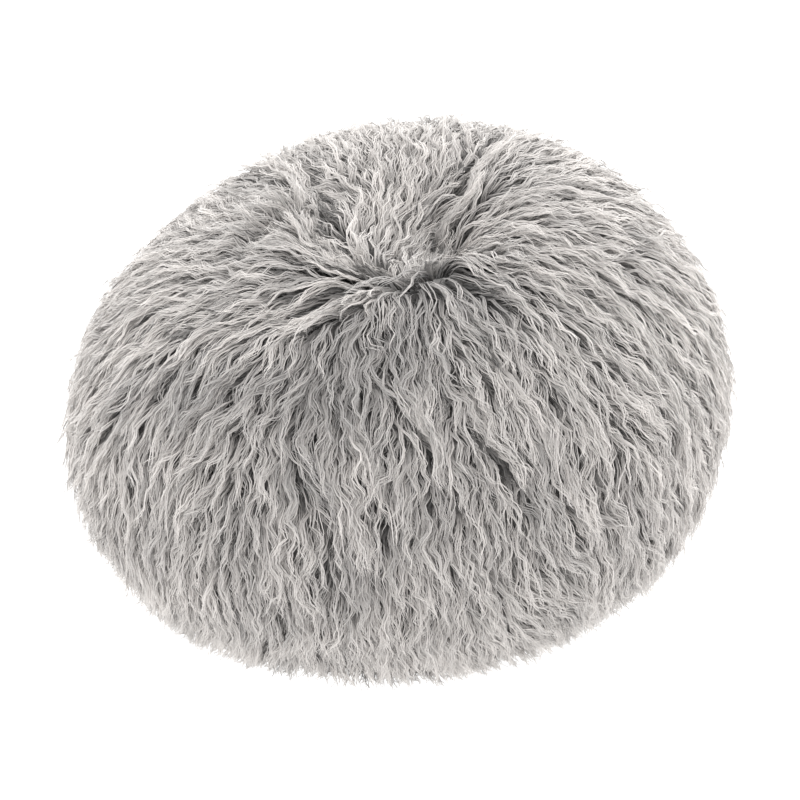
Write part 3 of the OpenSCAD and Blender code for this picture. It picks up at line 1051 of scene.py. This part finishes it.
def label(name):
    """A blank woven label, sewn down along one end and a little lifted at the other."""
    x, y = np.meshgrid(np.linspace(0, LABEL_SIZE[0], 25), np.linspace(0, LABEL_SIZE[1], 41))
    lift = 0.0012 * smoothstep(LABEL_SIZE[1] * 0.8, 0, y) * (0.7 + 0.3 * np.sin(x * 150))
    low = LABEL_AT[2] + 0.0003 + lift
    thin = LABEL_SIZE[2] * 0.6
    grids = [stack(LABEL_AT[0] + x, LABEL_AT[1] + y, z) for z in (low + thin, low)]
    return thick_sheet(name, *grids, stack(x, y))


def label_line():
    """The stitched line that holds the label."""
    x = np.linspace(0.002, LABEL_SIZE[0] - 0.002, 60) + LABEL_AT[0]
    return level_line(x, LABEL_AT[1] + LABEL_SIZE[1] - 0.003, LABEL_AT[2] + LABEL_SIZE[2])


# ---- The foam filling ----

def foam(name, chips=3700, size=0.022):
    """Torn foam chips packed over a core of the same foam."""
    core_shape = layer_shape(FILL_INSET + size * 0.7, FILL_Z + size * 0.5)
    rows, columns = 40, 80
    polar = np.linspace(-1, 1, rows)[:, None] * (math.pi / 2 - 0.0005)
    azimuth = np.linspace(0, math.tau, columns)
    dirs = stack(np.cos(polar) * np.cos(azimuth), np.cos(polar) * np.sin(azimuth), np.sin(polar))
    core = surface(dirs, core_shape)
    chip_shape = layer_shape(FILL_INSET + size * 0.72, FILL_Z + size * 0.62)
    centres = surface(even_directions(chips, -math.pi / 2), chip_shape)
    corners, faces = box_grid(np.linspace(-1, 1, 3))
    jitter = rng.uniform(-0.28, 0.28, (chips, len(corners), 3))
    squash = rng.uniform(0.55, 1.0, (chips, 1, 3))
    shaped = (corners + jitter) * squash * size * 0.36
    turned = np.einsum("nij,nkj->nki", random_turns(chips), shaped) + centres[:, None]
    chip_faces = faces[None] + (np.arange(chips) * len(corners))[:, None, None]
    verts = np.concatenate([core.reshape(-1, 3), turned.reshape(-1, 3)])
    all_faces = np.concatenate([grid_faces(rows, columns), chip_faces.reshape(-1, 4) + rows * columns])
    return mesh_of(name, verts, all_faces, smooth=False)


def box_grid(steps):
    """The surface of a box as a grid: its corner points and outward faces."""
    points, faces, index = [], [], {}
    last = len(steps) - 1
    for axis, end, i, j in product(range(3), (0, last), range(last), range(last)):
        face = []
        for corner in ((i, j), (i + 1, j), (i + 1, j + 1), (i, j + 1)):
            key = corner[:axis] + (end,) + corner[axis:]
            if key not in index:
                index[key] = len(points)
                points.append([steps[k] for k in key])
            face.append(index[key])
        outward = (end > 0) == (axis != 1)
        faces.append(face if outward else face[::-1])
    return np.array(points), np.array(faces)


def random_turns(count):
    """Random rotation matrices."""
    q, _ = np.linalg.qr(rng.normal(size=(count, 3, 3)))
    return q * np.sign(np.linalg.det(q))[:, None, None]


# ---- Putting the cover together ----

piles = [fur(kind) for kind in (UNDERCOAT, GUARD_HAIR, STRAY_HAIR)]
for place, node in enumerate(NODE_OF):
    if place < PANELS:
        backing, cut = side_panel(f"{node}_backing", place + 1, BACKING_LAYER, 72)
    else:
        backing, cut = crown_sheet(f"{node}_backing", BACKING_LAYER)
    put(backing, backing_material, "fur", node)
    declare(backing, cut)

# A zipped base: its zip, the start of its nodes' names, its record slot and its four materials.
ZippedBase = namedtuple("ZippedBase", "fastener base slot cloth thread tape coil")
COVER_BASE = ZippedBase(
    COVER_ZIP, "base_panel", "base_cloth", base_material, dark_thread, tape_material, coil_material)
LINER_BASE = ZippedBase(
    LINER_ZIP, "liner_base", "liner_cloth", liner_material, light_thread, liner_tape_material,
    liner_coil_material)


def put_base_half(made_of, end, side):
    """One half of a zipped base, with its tape, its coil row and its stitches."""
    fastener = made_of.fastener
    node = f"{made_of.base}_{end}"
    tape_node, coil_node = f"{fastener.name}_tape_{end}", f"{fastener.name}_coil_{end}"
    half = put(base_half(f"{node}_cloth", fastener, side), made_of.cloth, made_of.slot, node)
    tape = zip_tape(f"{tape_node}_cloth", fastener, side)
    put(tape, made_of.tape, f"{fastener.name}_tape", tape_node)
    coil = zip_coil(f"{coil_node}_helix", fastener, side)
    put(coil, made_of.coil, f"{fastener.name}_coil", coil_node)
    tape_z, _ = zip_heights(fastener)
    above = hem_lines(fastener, side, tape_z + fastener.tape_t, 1)
    below = hem_lines(fastener, side, fastener.low + 0.0003, -1)
    sewing = stitches(f"{node}_stitches", above + below, 0.004, 0.0003)
    put(sewing, made_of.thread, made_of.slot)
    radius = fastener.disc_r
    declare(half, (2 * radius, radius, math.pi * radius ** 2 / 2))


for made_of in (COVER_BASE, LINER_BASE):
    put_base_half(made_of, "front", -1)
    put_base_half(made_of, "back", 1)

put(binding("base_seam_binding_tape"), binding_material, "binding", "base_seam_binding")
binding_line_r = SEAM_R - SEAM_CLEAR - BINDING_W + 0.0018
rounds = [
    round_line(binding_line_r, BINDING_LOW + 0.0001, -1),
    round_line(binding_line_r, HEM_STEP, 1),
]
put(stitches("base_seam_stitches", rounds, 0.004, 0.0003), dark_thread, "binding")

care_label = put(label("care_label_cloth"), label_material, "label", "care_label")
label_sewing = stitches("care_label_stitches", [label_line()], 0.003, 0.00025)
put(label_sewing, light_thread, "label")

# ---- The liner and its filling ----

for number in range(1, PANELS + 1):
    node = f"liner_panel_{number}"
    panel, cut = side_panel(f"{node}_cloth", number, LINER_LAYER, 150)
    put(panel, liner_material, "liner_cloth", node)
    declare(panel, cut)
cap, cut = crown_sheet("liner_top_cap_cloth", LINER_LAYER)
put(cap, liner_material, "liner_cloth", "liner_top_cap")
declare(cap, cut)
seam_sewing = stitches("liner_seam_stitches", seam_lines(LINER_LAYER), 0.005, 0.00035)
put(seam_sewing, light_thread, "liner_cloth")

filling = put(foam("foam_fill_chips"), foam_material("shredded_foam"), "foam", "foam_fill")

# ---- The CAD pieces that stay: sliders and stops ----

slider_paint = slider_material()
METAL = {"slider": slider_paint, "top_stops": stop_material, "bottom_stop": stop_material}
for fastener in (COVER_ZIP, LINER_ZIP):
    for ending, material in METAL.items():
        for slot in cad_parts[f"{fastener.name}_{ending}"].material_slots:
            slot.material = material

# ---- Floor and light ----

PAPER_HALF = 8
corners = [(-1, -1, 0), (1, -1, 0), (1, 1, 0), (-1, 1, 0)]
ground = mesh_of("floor", np.array(corners) * PAPER_HALF, np.array([[0, 1, 2, 3]]), smooth=False)
# The paper glows a little, so it stays white under the bag.
glow = {"Emission Color": (1, 1, 1, 1), "Emission Strength": 1.3}
paper, _ = new_material("floor", (0.1, 0.1, 0.1), 0.9, glow)
ground.data.materials.append(paper)

world = bpy.data.worlds.new("studio")
world.use_nodes = True
set_inputs(world.node_tree.nodes["Background"], {"Color": (1, 1, 1, 1), "Strength": 1.20})
bpy.context.scene.world = world

# Square lamps: name, place, the height that each points at over the middle of the bag, width and watts.
LAMPS = (
    ("key", (0.3, 0.0, 2.8), 0.3, 2.2, 28),
    ("front_fill", (0.0, -3.2, 0.7), 0.2, 2.0, 18),
    ("back_fill", (0.0, 2.8, 2.0), 0.4, 2.5, 30),
    ("left_fill", (-2.4, 0.5, 1.5), 0.3, 2.0, 42),
    ("right_fill", (2.4, 0.5, 1.5), 0.3, 2.0, 54),
)
for name, location, aim_z, width, power in LAMPS:
    data = bpy.data.lights.new(name, "AREA")
    data.size = width
    data.energy = power
    lamp = new_object(name, data)
    lamp.location = location
    lamp.rotation_euler = (Vector((0, 0, aim_z)) - Vector(location)).to_track_quat("-Z", "Y").to_euler()
bpy.context.scene.view_settings.view_transform = "Standard"
